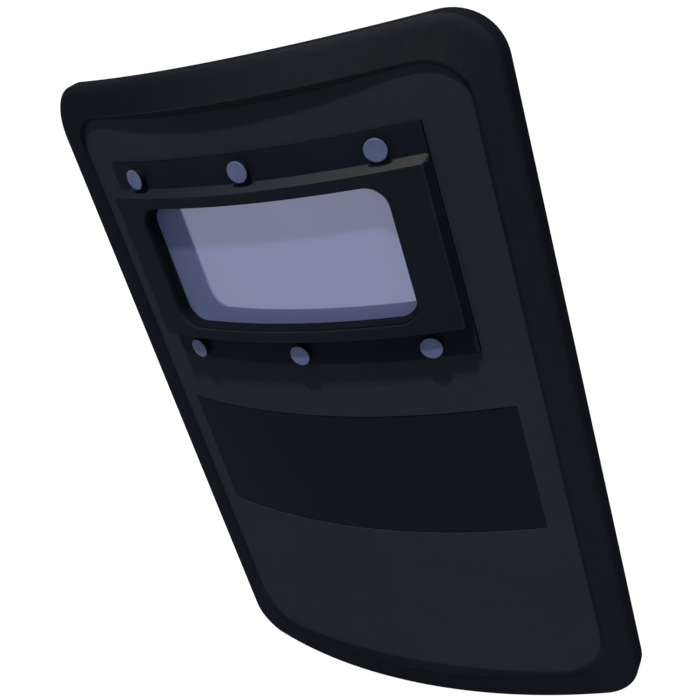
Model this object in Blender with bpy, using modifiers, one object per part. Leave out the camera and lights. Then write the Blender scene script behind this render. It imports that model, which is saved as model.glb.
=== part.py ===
"""Ballistic riot shield with a clamped viewport, lying on its back.

The shield lies with its curved front up (+Z), its top edge towards +Y and the bearer's left
towards +X.  It rests on the flat edges of its two long side rims, whose middles are a hair higher
than their ends, and the origin is on the floor, under the middle of the outline.

Every curved piece is first drawn flat, with X as the arc length across the shield, Y as the
height up it and Z as the distance in front of the body's front face, and is then bent round
the shield's axis.  All sizes are in metres.
"""
import math

import bmesh
import bpy
from mathutils import Matrix, Vector

# Whole shield
HEIGHT = 0.920
WIDTH = 0.614
BEND_RADIUS = 0.825          # of the body's front face
CROWN_HEIGHT = 0.0857        # of the body's front face over the floor, on the centre line
FIT_GAP = 0.0003             # left between pieces that touch
STATION_STEP = 0.031         # arc length between the facets of a bent piece
CORNER_STEPS = 5             # facets in each rounded corner

# Body
SHELL_THICKNESS = 0.010
SHELL_INSET = 0.008          # from the rim's outer face to the body's edge

# Moulded rim
RIM_FRONT = 0.007            # its outer front edge over the body's face, on the long sides
RIM_FRONT_END = 0.004        # and on the ends
RIM_RIDGE = 0.0045           # its inner ridge over the body's face
RIM_CROWN = 0.0053           # added to the ridges of the ends on the centre line
RIM_CROWN_REACH = 0.200      # and fading to nothing at this distance from it
RIM_CORNERS = (0.063, 0.044)  # radii of its outer corners at the top and at the bottom
RIM_RIDGE_CORNERS = (0.054, 0.062)  # and of its ridge
RIM_EDGE_ROUND = 0.003
RIM_EDGE_ROUND_TOP = 0.007
RIM_WIDTH_SIDE = 0.032
RIM_WIDTH_TOP = 0.0405
RIM_WIDTH_BOTTOM = 0.0380
RIM_STEP = 0.0042            # width of the slope from the ridge down to the body
RIM_BACK_FLANGE = 0.030      # width of the flange behind the body
RIM_FOOT_OUTER = 0.305       # the flat resting edge, as distances from the centre line
RIM_FOOT_INNER = 0.295
RIM_FOOT_ARCH = 0.0005       # rise of the resting edges' middles over their ends
RIM_LIP_DEPTH = 0.021        # of the top and bottom rims behind the body's face

# Viewport frames, in front of the body and behind it
FLANGE_HALF_WIDTH = 0.221
FLANGE_LOW = 0.081
FLANGE_HIGH = 0.359
FLANGE_FRONT = 0.0048
FLANGE_CORNER = 0.003
HOUSING_FRONT = 0.0218
HOUSING_FOOT = (0.2195, 0.118, 0.3238, 0.003)    # half width, low, high, corner radius
HOUSING_FACE = (0.214, 0.1218, 0.3167, 0.003)
OPENING = (0.170, 0.136, 0.3042, 0.028)
REAR_PLATE_BACK = 0.015
REAR_BOX_FOOT = (0.192, 0.112, 0.325, 0.040)
REAR_BOX_BACK = (0.186, 0.118, 0.319, 0.036)
REAR_FRAME_BACK = 0.038

# Glass and its seal
GLASS_OVERLAP = 0.008        # hidden behind the front frame, all round
GLASS_FRONT = 0.0048
GLASS_BACK = 0.0175          # behind the body's face
GLASS_GAP = 0.0004           # round its edge, in the pocket
SEAL_THICKNESS = 0.0015
SEAL_FRONT = 0.0178

# Frame bolts and nuts
BOLT_COLUMNS = (-0.1686, 0.0, 0.1686)
BOLT_ROWS = {"top": 0.3398, "bottom": 0.0990}
BOLT_HEAD_RADIUS = 0.0137
BOLT_HEAD_HEIGHT = 0.0092
BOLT_COLLAR_RADIUS = 0.0112
BOLT_SHANK_RADIUS = 0.006
BOLT_END = 0.0305            # behind the body's face
BOLT_HOLE_RADIUS = 0.0066
NUT_ACROSS_CORNERS = 0.0219
NUT_HEIGHT = 0.010

# Blank identification panel, in a shallow field of the body
PANEL_HALF_WIDTH = 0.244
PANEL_LOW = -0.179
PANEL_HIGH = 0.002
PANEL_FIELD_DEPTH = 0.0022
PANEL_SINK = 0.0008
PANEL_THICKNESS = 0.0011
PANEL_CORNER = 0.003

# Grip handle on the back
GRIP_ARC = 0.080             # across the shield, from the centre line
GRIP_CENTRE = -0.050         # up the shield
GRIP_DEPTH = 0.059           # of the bar's centre behind the body's face
HANDLE_HALF_SPAN = 0.078
HANDLE_BAR_RADIUS = 0.006
HANDLE_BEND = 0.018
HANDLE_FOOT_WIDTH = 0.040
HANDLE_FOOT_LENGTH = 0.046
HANDLE_FOOT_THICKNESS = 0.0043
GRIP_LENGTH = 0.116
GRIP_RADIUS = 0.0125
GRIP_SWELL = 0.0012
GRIP_COLLAR = 0.0145
GRIP_BORE = 0.0064

# Forearm strap on the back
STRAP_ARC = -0.150
STRAP_WIDTH = 0.050
STRAP_THICKNESS = 0.0024
STRAP_HALF_SPAN = 0.048
STRAP_RISE = 0.046
STRAP_FOOT_LENGTH = 0.032
STRAP_STEPS = 16
CLAMP_WIDTH = 0.070
CLAMP_LENGTH = 0.022
CLAMP_THICKNESS = 0.003

# Screws of the handle and the strap, in blind holes of the body
SCREW_RADIUS = 0.0025
SCREW_HOLE_RADIUS = 0.0028
SCREW_HEAD_RADIUS = 0.0048
SCREW_HEAD_HEIGHT = 0.0030
SCREW_TIP = 0.0046           # behind the body's face
SCREW_HOLE_END = 0.0041

AXIS_HEIGHT = CROWN_HEIGHT - BEND_RADIUS
TOP = HEIGHT / 2
HALF_ARC = BEND_RADIUS * math.asin(WIDTH / 2 / (BEND_RADIUS + RIM_FRONT))
SHELL_BACK = SHELL_THICKNESS + FIT_GAP


def clear_scene():
    for old in list(bpy.data.objects):
        bpy.data.objects.remove(old, do_unlink=True)


def new_collection(name):
    collection = bpy.data.collections.new(name)
    bpy.context.scene.collection.children.link(collection)
    return collection


def material(name, color, roughness, metallic=0.0):
    made = bpy.data.materials.new(name)
    made.use_nodes = True
    shader = made.node_tree.nodes["Principled BSDF"]
    shader.inputs["Base Color"].default_value = (*color, 1.0)
    shader.inputs["Roughness"].default_value = roughness
    shader.inputs["Metallic"].default_value = metallic
    made.diffuse_color = (*color, 1.0)
    return made


def bent(arc, height, front):
    """Place of a flat point on the bent shield."""
    turn = arc / BEND_RADIUS
    radius = BEND_RADIUS + front
    return Vector((radius * math.sin(turn), height, AXIS_HEIGHT + radius * math.cos(turn)))


def flattened(across, up):
    """Arc length and front distance of a point given across the shield and over the floor."""
    rise = up - AXIS_HEIGHT
    return BEND_RADIUS * math.atan2(across, rise), math.hypot(across, rise) - BEND_RADIUS


def grown(outline, amount):
    """An outline (half width, low, high, corner radius) moved outwards by an amount."""
    half_width, low, high, corner = outline
    return half_width + amount, low - amount, high + amount, corner + amount


def drawn_in(radii, inset):
    """Corner radii of an outline that is drawn in by an inset."""
    return tuple(radius - inset for radius in radii)


def glass_outline(gap=0.0):
    """Edge of the glass, or of the pocket that holds it."""
    return grown(OPENING, GLASS_OVERLAP + gap)


def rounded_outline(half_width, low, high, corner):
    """Points of a rounded rectangle, each with the angle of its outward normal.

    The corner is one radius, or a pair of them for the top and the bottom corners.
    """
    radii = corner if isinstance(corner, tuple) else (corner, corner)
    centres = ((1, high, -1, 0), (-1, high, -1, 90), (-1, low, 1, 180), (1, low, 1, 270))
    points = []
    for side, edge, inward, start in centres:
        corner = radii[0] if edge == high else radii[1]
        for step in range(CORNER_STEPS + 1):
            angle = math.radians(start + 90 * step / CORNER_STEPS)
            points.append((side * (half_width - corner) + corner * math.cos(angle),
                           edge + inward * corner + corner * math.sin(angle), angle))
    return points


def circle_outline(arc, height, radius, steps=12):
    turns = [2 * math.pi * step / steps for step in range(steps)]
    return [(arc + radius * math.cos(turn), height + radius * math.sin(turn)) for turn in turns]


def link(name, mesh, collection, finish=None):
    made = bpy.data.objects.new(name, mesh)
    collection.objects.link(made)
    if finish:
        mesh.materials.clear()
        mesh.materials.append(finish)
    return made


def baked(obj):
    """The object with its modifiers or curve made into a plain, welded mesh."""
    depsgraph = bpy.context.evaluated_depsgraph_get()
    depsgraph.update()
    mesh = bpy.data.meshes.new_from_object(obj.evaluated_get(depsgraph))
    mesh.transform(obj.matrix_world)
    work = bmesh.new()
    work.from_mesh(mesh)
    bmesh.ops.remove_doubles(work, verts=work.verts, dist=1e-6)
    work.to_mesh(mesh)
    work.free()
    mesh.name = obj.name
    made = bpy.data.objects.new(obj.name, mesh)
    obj.users_collection[0].objects.link(made)
    name = obj.name
    bpy.data.objects.remove(obj, do_unlink=True)
    made.name = name
    return made


def flat_plate(name, outlines, back, front, collection):
    """A flat plate; the first outline is its edge and any others are holes through it."""
    curve = bpy.data.curves.new(name, "CURVE")
    curve.dimensions = "2D"
    curve.fill_mode = "BOTH"
    curve.extrude = (front - back) / 2
    for outline in outlines:
        spline = curve.splines.new("POLY")
        spline.points.add(len(outline) - 1)
        for point, place in zip(spline.points, outline):
            point.co = (place[0], place[1], 0, 1)
        spline.use_cyclic_u = True
    made = bpy.data.objects.new(name, curve)
    made.location.z = (front + back) / 2
    collection.objects.link(made)
    bpy.context.view_layer.update()
    return baked(made)


def flat_ring(name, levels, collection):
    """A closed ring lofted through rounded outlines of differing proportions.

    A level is (outline, front on the long sides, front on the ends); the two fronts blend
    round the corners.
    """
    work = bmesh.new()
    loops = []
    for outline, front_side, front_end in levels:
        loop = []
        for arc, height, angle in rounded_outline(*outline):
            share = math.cos(angle) ** 2
            loop.append(work.verts.new((arc, height, front_side * share + front_end * (1 - share))))
        loops.append(loop)
    for level, loop in enumerate(loops):
        following = loops[(level + 1) % len(loops)]
        for index in range(len(loop)):
            after = (index + 1) % len(loop)
            work.faces.new((loop[index], loop[after], following[after], following[index]))
    bmesh.ops.recalc_face_normals(work, faces=work.faces)
    mesh = bpy.data.meshes.new(name)
    work.to_mesh(mesh)
    work.free()
    return link(name, mesh, collection)


def cut(obj, cutters):
    for cutter in cutters:
        cutter.hide_render = True
        cutter.display_type = "WIRE"
        boolean = obj.modifiers.new("cut", "BOOLEAN")
        boolean.operation = "DIFFERENCE"
        boolean.solver = "EXACT"
        boolean.object = cutter
    result = baked(obj)
    for cutter in cutters:
        bpy.data.objects.remove(cutter, do_unlink=True)
    return result


def join_solids(obj, others):
    for other in others:
        boolean = obj.modifiers.new("join", "BOOLEAN")
        boolean.operation = "UNION"
        boolean.solver = "EXACT"
        boolean.object = other
    result = baked(obj)
    for other in others:
        bpy.data.objects.remove(other, do_unlink=True)
    return result


def bend(obj, finish, shape=None):
    """Facet a flat piece across its width and wrap it round the shield's axis.

    A shape moves the facets' flat points before they are wrapped.
    """
    mesh = obj.data
    work = bmesh.new()
    work.from_mesh(mesh)
    bmesh.ops.dissolve_limit(work, angle_limit=0.001, verts=work.verts, edges=work.edges)
    lowest = min(vertex.co.x for vertex in work.verts)
    highest = max(vertex.co.x for vertex in work.verts)
    first = math.ceil(lowest / STATION_STEP)
    last = math.floor(highest / STATION_STEP)
    for station in range(first, last + 1):
        bmesh.ops.bisect_plane(work, geom=work.verts[:] + work.edges[:] + work.faces[:], dist=1e-5,
                               plane_co=(station * STATION_STEP, 0, 0), plane_no=(1, 0, 0))
    for vertex in work.verts:
        vertex.co = bent(*(shape(*vertex.co) if shape else vertex.co))
    work.to_mesh(mesh)
    work.free()
    mesh.materials.clear()
    mesh.materials.append(finish)
    return obj


def turned(name, profile, steps, collection, finish):
    """A solid turned round its local Z from a profile of (radius, height), top to bottom."""
    mesh = bpy.data.meshes.new(name)
    edges = [(index, index + 1) for index in range(len(profile) - 1)]
    if profile[0] != profile[-1] and profile[0][0] > 0:
        edges.append((len(profile) - 1, 0))
    mesh.from_pydata([(radius, 0, height) for radius, height in profile], edges, [])
    made = link(name, mesh, collection, finish)
    screw = made.modifiers.new("turn", "SCREW")
    screw.axis = "Z"
    screw.steps = steps
    screw.render_steps = steps
    screw.use_merge_vertices = True
    screw.merge_threshold = 0.00001
    return made


def seat(obj, arc, height, front):
    """Stand a turned piece on the bent shield, its local Z pointing out of the front."""
    obj.location = bent(arc, height, front)
    obj.rotation_euler = (0, arc / BEND_RADIUS, 0)
    return obj


def bolt_places():
    for row, height in BOLT_ROWS.items():
        for side, arc in zip(("left", "middle", "right"), BOLT_COLUMNS):
            yield f"{row}_{side}", arc, height


def bolt_holes():
    return [circle_outline(arc, height, BOLT_HOLE_RADIUS) for _, arc, height in bolt_places()]


def handle_screw_places():
    for end, outward in (("upper", 1), ("lower", -1)):
        height = GRIP_CENTRE + outward * (HANDLE_HALF_SPAN + 0.013)
        for side, offset in (("left", -0.012), ("right", 0.012)):
            yield f"handle_screw_{end}_{side}", GRIP_ARC + offset, height


def strap_screw_places():
    for end, outward in (("upper", 1), ("lower", -1)):
        height = GRIP_CENTRE + outward * (STRAP_HALF_SPAN + STRAP_FOOT_LENGTH / 2)
        for side, offset in (("left", -0.030), ("right", 0.030)):
            yield f"strap_screw_{end}_{side}", STRAP_ARC + offset, height


def make_shell(parts, cutters, finish):
    half_width = HALF_ARC - SHELL_INSET
    edge = TOP - SHELL_INSET
    outlines = [rounded_outline(half_width, -edge, edge, drawn_in(RIM_CORNERS, SHELL_INSET)),
                rounded_outline(*glass_outline(GLASS_GAP)), *bolt_holes()]
    shell = flat_plate("shell", outlines, -SHELL_THICKNESS, 0, parts)
    field = rounded_outline(PANEL_HALF_WIDTH, PANEL_LOW, PANEL_HIGH, PANEL_CORNER)
    tools = [flat_plate("panel_field", [field], -PANEL_FIELD_DEPTH, 0.005, cutters)]
    for name, arc, height in [*handle_screw_places(), *strap_screw_places()]:
        hole = circle_outline(arc, height, SCREW_HOLE_RADIUS)
        tools.append(flat_plate(f"{name}_hole", [hole], -0.015, -SCREW_HOLE_END, cutters))
    return bend(cut(shell, tools), finish)


def make_rim(parts, finish):
    def level(side, top, bottom, corner, front_side, front_end=None):
        outline = (HALF_ARC - side, bottom - TOP, TOP - top, corner)
        return outline, front_side, front_side if front_end is None else front_end

    def wall_level(across, up, inset, corner, front_end):
        arc, front = flattened(across, up)
        return (arc, inset - TOP, TOP - inset, corner), front, front_end

    edge_up = bent(HALF_ARC, 0, RIM_FRONT).z
    channel = SHELL_INSET - FIT_GAP
    levels = [
        wall_level(WIDTH / 2, edge_up - RIM_EDGE_ROUND, 0, RIM_CORNERS, RIM_FRONT_END - RIM_EDGE_ROUND),
        level(RIM_EDGE_ROUND, RIM_EDGE_ROUND_TOP, RIM_EDGE_ROUND, drawn_in(RIM_CORNERS, RIM_EDGE_ROUND),
              RIM_FRONT, RIM_FRONT_END),
        level(RIM_WIDTH_SIDE, RIM_WIDTH_TOP, RIM_WIDTH_BOTTOM, RIM_RIDGE_CORNERS, RIM_RIDGE),
        level(RIM_WIDTH_SIDE + RIM_STEP, RIM_WIDTH_TOP + RIM_STEP, RIM_WIDTH_BOTTOM + RIM_STEP,
              drawn_in(RIM_RIDGE_CORNERS, RIM_STEP), FIT_GAP),
        level(channel, channel, channel, drawn_in(RIM_CORNERS, channel), FIT_GAP),
        level(channel, channel, channel, drawn_in(RIM_CORNERS, channel), -SHELL_BACK),
        level(RIM_BACK_FLANGE, RIM_BACK_FLANGE, RIM_BACK_FLANGE, 0.036, -SHELL_BACK),
        level(0.0285, 0.0285, 0.0285, 0.036, -0.0155),
        level(0.015, 0.015, 0.015, 0.038, -0.0175),
        wall_level(RIM_FOOT_INNER, 0, 0.011, 0.041, -RIM_LIP_DEPTH),
        wall_level(RIM_FOOT_OUTER, 0, 0.002, RIM_CORNERS, -RIM_LIP_DEPTH),
        wall_level(WIDTH / 2, 0.002, 0, RIM_CORNERS, 0.002 - RIM_LIP_DEPTH),
    ]
    rim = bend(flat_ring("rim", levels, parts), finish, crowned)
    arch_feet(rim)
    return rim


def crowned(arc, height, front):
    """Raise the ridges of the rim's ends towards the centre line, and move their slopes' feet to match."""
    crown = RIM_CROWN * max(0.0, 1 - (arc / RIM_CROWN_REACH) ** 2)
    end = TOP - (RIM_WIDTH_TOP if height > 0 else RIM_WIDTH_BOTTOM)
    if abs(abs(height) - end) < 1e-4:
        return arc, height, front + crown
    if abs(abs(height) - end + RIM_STEP) < 1e-4:
        return arc, height - math.copysign(crown, height), front
    return arc, height, front


def arch_feet(rim):
    """Give each long resting edge a middle that is a hair higher than its ends."""
    work = bmesh.new()
    work.from_mesh(rim.data)
    bmesh.ops.bisect_plane(work, geom=work.verts[:] + work.edges[:] + work.faces[:], dist=1e-5,
                           plane_co=(0, 0, 0), plane_no=(0, 1, 0))
    for vertex in work.verts:
        if abs(vertex.co.y) < 1e-5 and vertex.co.z < 1e-5:
            vertex.co.z = RIM_FOOT_ARCH
    work.to_mesh(rim.data)
    work.free()


def make_front_frame(parts, cutters, finish):
    flange = (FLANGE_HALF_WIDTH, FLANGE_LOW, FLANGE_HIGH, FLANGE_CORNER)
    pocket = glass_outline(GLASS_GAP)
    pocket_floor = GLASS_FRONT + FIT_GAP
    steps = [(flange, FIT_GAP), (flange, FLANGE_FRONT - 0.001), (grown(flange, -0.001), FLANGE_FRONT),
             (HOUSING_FOOT, FLANGE_FRONT), (HOUSING_FACE, HOUSING_FRONT), (OPENING, HOUSING_FRONT),
             (OPENING, pocket_floor), (pocket, pocket_floor), (pocket, FIT_GAP)]
    frame = flat_ring("viewport_frame", [(outline, front, front) for outline, front in steps], parts)
    tools = [flat_plate(f"bolt_hole_{index}", [hole], -0.01, 0.03, cutters)
             for index, hole in enumerate(bolt_holes())]
    return bend(cut(frame, tools), finish)


def make_rear_frame(parts, cutters, finish):
    plate = (FLANGE_HALF_WIDTH, FLANGE_LOW, FLANGE_HIGH, FLANGE_CORNER)
    pocket = glass_outline(GLASS_GAP)
    pocket_floor = GLASS_BACK + FIT_GAP
    steps = [(plate, -SHELL_BACK), (plate, -REAR_PLATE_BACK), (REAR_BOX_FOOT, -REAR_PLATE_BACK),
             (REAR_BOX_BACK, -REAR_FRAME_BACK), (OPENING, -REAR_FRAME_BACK), (OPENING, -pocket_floor),
             (pocket, -pocket_floor), (pocket, -SHELL_BACK)]
    frame = flat_ring("rear_frame", [(outline, front, front) for outline, front in steps], parts)
    tools = [flat_plate(f"nut_hole_{index}", [hole], -0.05, 0.0, cutters)
             for index, hole in enumerate(bolt_holes())]
    return bend(cut(frame, tools), finish)


def make_glass(parts, finish):
    outline = rounded_outline(*glass_outline())
    return bend(flat_plate("viewport_glass", [outline], -GLASS_BACK, GLASS_FRONT, parts), finish)


def make_seal(parts, finish):
    outer = rounded_outline(*grown(OPENING, -FIT_GAP))
    inner = rounded_outline(*grown(OPENING, -FIT_GAP - SEAL_THICKNESS))
    return bend(flat_plate("window_seal", [outer, inner], GLASS_FRONT + FIT_GAP, SEAL_FRONT, parts), finish)


def make_panel(parts, finish):
    outline = rounded_outline(PANEL_HALF_WIDTH - FIT_GAP, PANEL_LOW + FIT_GAP, PANEL_HIGH - FIT_GAP,
                              PANEL_CORNER)
    plate = flat_plate("id_panel", [outline], -PANEL_SINK - PANEL_THICKNESS, -PANEL_SINK, parts)
    return bend(plate, finish)


def make_bolts(parts, cutters, finish):
    seat_front = FLANGE_FRONT + FIT_GAP
    crown = seat_front + BOLT_HEAD_HEIGHT
    profile = [(0, crown), (BOLT_HEAD_RADIUS - 0.0010, crown), (BOLT_HEAD_RADIUS, crown - 0.0010),
               (BOLT_HEAD_RADIUS, crown - 0.0026), (BOLT_COLLAR_RADIUS, crown - 0.0050),
               (BOLT_COLLAR_RADIUS, seat_front),
               (BOLT_SHANK_RADIUS, seat_front), (BOLT_SHANK_RADIUS, 0.0015 - BOLT_END),
               (BOLT_SHANK_RADIUS - 0.0015, -BOLT_END), (0, -BOLT_END)]
    for place, arc, height in bolt_places():
        bolt = turned(f"bolt_{place}", profile, 12, parts, finish)
        seat(bolt, arc, height, 0)

        bpy.ops.mesh.primitive_cylinder_add(vertices=6, radius=NUT_ACROSS_CORNERS / 2, depth=NUT_HEIGHT)
        nut = bpy.context.object
        nut.name = f"nut_{place}"
        for collection in list(nut.users_collection):
            collection.objects.unlink(nut)
        parts.objects.link(nut)
        bore = circle_outline(0, 0, BOLT_SHANK_RADIUS + 0.0005)
        nut = cut(nut, [flat_plate(f"nut_bore_{place}", [bore], -0.02, 0.02, cutters)])
        nut.data.materials.clear()
        nut.data.materials.append(finish)
        seat(nut, arc, height, -REAR_PLATE_BACK - FIT_GAP - NUT_HEIGHT / 2)


def make_handle(parts, finish):
    """A round bar bent into a staple and welded to two feet."""
    foot_back = -SHELL_BACK - HANDLE_FOOT_THICKNESS
    curve = bpy.data.curves.new("handle", "CURVE")
    curve.dimensions = "3D"
    curve.bevel_depth = HANDLE_BAR_RADIUS
    curve.bevel_resolution = 2
    curve.use_fill_caps = True
    path = [(HANDLE_HALF_SPAN, foot_back + 0.002)]
    for side in (1, -1):
        turns = [math.radians(90 * step / CORNER_STEPS) for step in range(CORNER_STEPS + 1)]
        arc = [(side * (HANDLE_HALF_SPAN - HANDLE_BEND * (1 - math.cos(turn))),
                -GRIP_DEPTH + HANDLE_BEND * (1 - math.sin(turn))) for turn in turns]
        path += arc if side > 0 else arc[::-1]
    path.append((-HANDLE_HALF_SPAN, foot_back + 0.002))
    spline = curve.splines.new("POLY")
    spline.points.add(len(path) - 1)
    for point, (height, front) in zip(spline.points, path):
        point.co = (GRIP_ARC, GRIP_CENTRE + height, front, 1)
    bar = bpy.data.objects.new("handle", curve)
    parts.objects.link(bar)
    bpy.context.view_layer.update()
    bar = baked(bar)

    feet = []
    screws = [(arc, height) for _, arc, height in handle_screw_places()]
    for outward in (1, -1):
        centre = GRIP_CENTRE + outward * (HANDLE_HALF_SPAN + 0.006)
        half_width = HANDLE_FOOT_WIDTH / 2
        half_length = HANDLE_FOOT_LENGTH / 2
        edge = [(arc + GRIP_ARC, height, angle) for arc, height, angle in
                rounded_outline(half_width, centre - half_length, centre + half_length, 0.005)]
        holes = [circle_outline(arc, height, SCREW_HOLE_RADIUS) for arc, height in screws
                 if abs(height - centre) < half_length]
        feet.append(flat_plate(f"foot_{outward}", [edge, *holes], foot_back, -SHELL_BACK, parts))
    return bend(join_solids(bar, feet), finish)


def make_grip(parts, finish):
    half = GRIP_LENGTH / 2
    collar = 0.004
    barrel = [(GRIP_RADIUS + GRIP_SWELL * math.sin(math.pi * step / 6), half - collar
               - (GRIP_LENGTH - 2 * collar) * step / 6) for step in range(7)]
    profile = [(GRIP_BORE, half), (GRIP_COLLAR - 0.001, half), (GRIP_COLLAR, half - 0.001),
               (GRIP_COLLAR, half - collar), *barrel, (GRIP_COLLAR, collar - half),
               (GRIP_COLLAR, 0.001 - half), (GRIP_COLLAR - 0.001, -half), (GRIP_BORE, -half)]
    grip = turned("handle_grip", profile, 14, parts, finish)
    grip.location = bent(GRIP_ARC, GRIP_CENTRE, -GRIP_DEPTH)
    grip.rotation_euler = (math.radians(90), 0, 0)
    return grip


def make_strap(parts, finish):
    """Webbing that lies flat under its clamps and bows up between them."""
    flat = -SHELL_BACK - STRAP_THICKNESS / 2
    rows = [(-STRAP_HALF_SPAN - STRAP_FOOT_LENGTH, flat)]
    for step in range(STRAP_STEPS + 1):
        turn = math.pi * step / STRAP_STEPS
        rows.append((-STRAP_HALF_SPAN * math.cos(turn), flat - STRAP_RISE * math.sin(turn) ** 0.8))
    rows.append((STRAP_HALF_SPAN + STRAP_FOOT_LENGTH, flat))
    work = bmesh.new()
    sides = [[work.verts.new((STRAP_ARC + offset, GRIP_CENTRE + height, front)) for height, front in rows]
             for offset in (-STRAP_WIDTH / 2, STRAP_WIDTH / 2)]
    for index in range(len(rows) - 1):
        work.faces.new((sides[0][index], sides[1][index], sides[1][index + 1], sides[0][index + 1]))
    mesh = bpy.data.meshes.new("arm_strap")
    work.to_mesh(mesh)
    work.free()
    strap = link("arm_strap", mesh, parts)
    solidify = strap.modifiers.new("thickness", "SOLIDIFY")
    solidify.thickness = STRAP_THICKNESS
    solidify.offset = 0
    return bend(baked(strap), finish)


def make_clamps(parts, finish):
    back = -SHELL_BACK - STRAP_THICKNESS - FIT_GAP - CLAMP_THICKNESS
    for end, outward in (("upper", 1), ("lower", -1)):
        centre = GRIP_CENTRE + outward * (STRAP_HALF_SPAN + STRAP_FOOT_LENGTH / 2)
        edge = [(arc + STRAP_ARC, height, angle) for arc, height, angle in
                rounded_outline(CLAMP_WIDTH / 2, centre - CLAMP_LENGTH / 2, centre + CLAMP_LENGTH / 2, 0.003)]
        holes = [circle_outline(arc, height, SCREW_HOLE_RADIUS)
                 for name, arc, height in strap_screw_places() if end in name]
        bend(flat_plate(f"strap_clamp_{end}", [edge, *holes], back, back + CLAMP_THICKNESS, parts), finish)
    return back


def make_screws(parts, clamp_back, finish):
    foot_back = -SHELL_BACK - HANDLE_FOOT_THICKNESS
    for places, under_head in ((handle_screw_places(), foot_back), (strap_screw_places(), clamp_back)):
        head_top = under_head - FIT_GAP
        profile = [(0, -SCREW_TIP), (SCREW_RADIUS, -SCREW_TIP), (SCREW_RADIUS, head_top),
                   (SCREW_HEAD_RADIUS, head_top), (SCREW_HEAD_RADIUS - 0.0008, head_top - SCREW_HEAD_HEIGHT),
                   (0, head_top - SCREW_HEAD_HEIGHT)]
        for name, arc, height in places:
            seat(turned(name, profile, 8, parts, finish), arc, height, 0)


def main():
    clear_scene()
    parts = new_collection("riot_shield")
    cutters = new_collection("cutters")
    coating = material("textured_coating", (0.022, 0.024, 0.028), 0.75)
    rubber = material("moulded_rubber", (0.012, 0.014, 0.017), 0.8)
    black_metal = material("blackened_aluminium", (0.014, 0.016, 0.019), 0.55, 0.3)
    seal_rubber = material("seal_rubber", (0.004, 0.004, 0.005), 0.85)
    glass = material("laminated_glass", (0.30, 0.31, 0.48), 0.08)
    steel = material("blued_steel", (0.13, 0.14, 0.25), 0.45, 0.6)
    panel = material("blank_panel", (0.010, 0.011, 0.014), 0.7)
    webbing = material("webbing", (0.012, 0.012, 0.013), 0.9)

    make_shell(parts, cutters, coating)
    make_rim(parts, rubber)
    make_front_frame(parts, cutters, black_metal)
    make_rear_frame(parts, cutters, black_metal)
    make_glass(parts, glass)
    make_seal(parts, seal_rubber)
    make_panel(parts, panel)
    make_bolts(parts, cutters, steel)
    make_handle(parts, black_metal)
    make_grip(parts, rubber)
    make_strap(parts, webbing)
    clamp_back = make_clamps(parts, black_metal)
    make_screws(parts, clamp_back, steel)


main()
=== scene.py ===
# Ballistic riot shield lying on its back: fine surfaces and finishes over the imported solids.
import math

import bpy
import numpy as np
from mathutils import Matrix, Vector


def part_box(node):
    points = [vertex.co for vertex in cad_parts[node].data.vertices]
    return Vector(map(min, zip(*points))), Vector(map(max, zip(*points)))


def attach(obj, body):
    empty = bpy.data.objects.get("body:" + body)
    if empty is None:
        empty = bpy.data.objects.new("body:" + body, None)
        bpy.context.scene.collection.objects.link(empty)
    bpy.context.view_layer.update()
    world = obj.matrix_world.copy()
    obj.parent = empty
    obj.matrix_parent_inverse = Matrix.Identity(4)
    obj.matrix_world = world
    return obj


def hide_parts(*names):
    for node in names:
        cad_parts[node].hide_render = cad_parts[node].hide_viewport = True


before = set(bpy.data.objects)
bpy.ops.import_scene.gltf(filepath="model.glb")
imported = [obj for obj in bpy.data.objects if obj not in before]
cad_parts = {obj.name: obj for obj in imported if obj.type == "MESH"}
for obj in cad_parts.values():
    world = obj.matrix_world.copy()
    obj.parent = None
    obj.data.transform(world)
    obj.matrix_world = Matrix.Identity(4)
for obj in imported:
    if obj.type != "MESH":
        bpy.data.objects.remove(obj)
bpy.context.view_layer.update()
print("frame loaded:", len(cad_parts), "nodes")


def node(tree, kind, inputs=None, **settings):
    # a shader node whose inputs are linked or set
    made = tree.nodes.new("ShaderNode" + kind)
    for name, value in settings.items():
        setattr(made, name, value)
    for name, value in (inputs or {}).items():
        if isinstance(value, bpy.types.NodeSocket):
            tree.links.new(value, made.inputs[name])
        else:
            made.inputs[name].default_value = value
    return made


# Camera: beyond the shield's top right corner, looking down on its front
shot = {"place": (0.6588, 0.6117, 0.9122), "turn": (-30.709, 26.368, -17.791), "lens": 49.195,
        "rise": -0.1262}
camera = bpy.data.objects.new("camera", bpy.data.cameras.new("camera"))
camera.location = shot["place"]
camera.rotation_euler = [math.radians(angle) for angle in shot["turn"]]
camera.data.lens = shot["lens"]
camera.data.shift_y = shot["rise"]
bpy.context.scene.collection.objects.link(camera)
bpy.context.scene.camera = camera

# Light: a low key from past the top edge that grazes the front, in a pale room whose light fades below
# the horizon, and which is plain white behind everything
light = {"keyFrom": (0.10, 0.95, 0.28), "keyPower": 3.6, "keySize": 3.0, "keyColor": (1.0, 0.985, 0.96),
         "room": (0.90, 0.95, 1.0), "roomPower": 0.42, "floorPower": 0.2, "fadeFrom": 0.2, "fadeTo": -0.3,
         "backdrop": (1, 1, 1)}
key = bpy.data.objects.new("key", bpy.data.lights.new("key", "SUN"))
key.data.energy = light["keyPower"]
key.data.angle = math.radians(light["keySize"])
key.data.color = light["keyColor"]
key.rotation_euler = Vector(light["keyFrom"]).to_track_quat("Z", "Y").to_euler()
bpy.context.scene.collection.objects.link(key)
room = bpy.data.worlds.new("room")
room.use_nodes = True
roomTree = room.node_tree
pale = roomTree.nodes["Background"]
pale.inputs["Color"].default_value = (*light["room"], 1)
skyward = node(roomTree, "SeparateXYZ", {0: node(roomTree, "TexCoord").outputs["Generated"]}).outputs[2]
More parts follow.
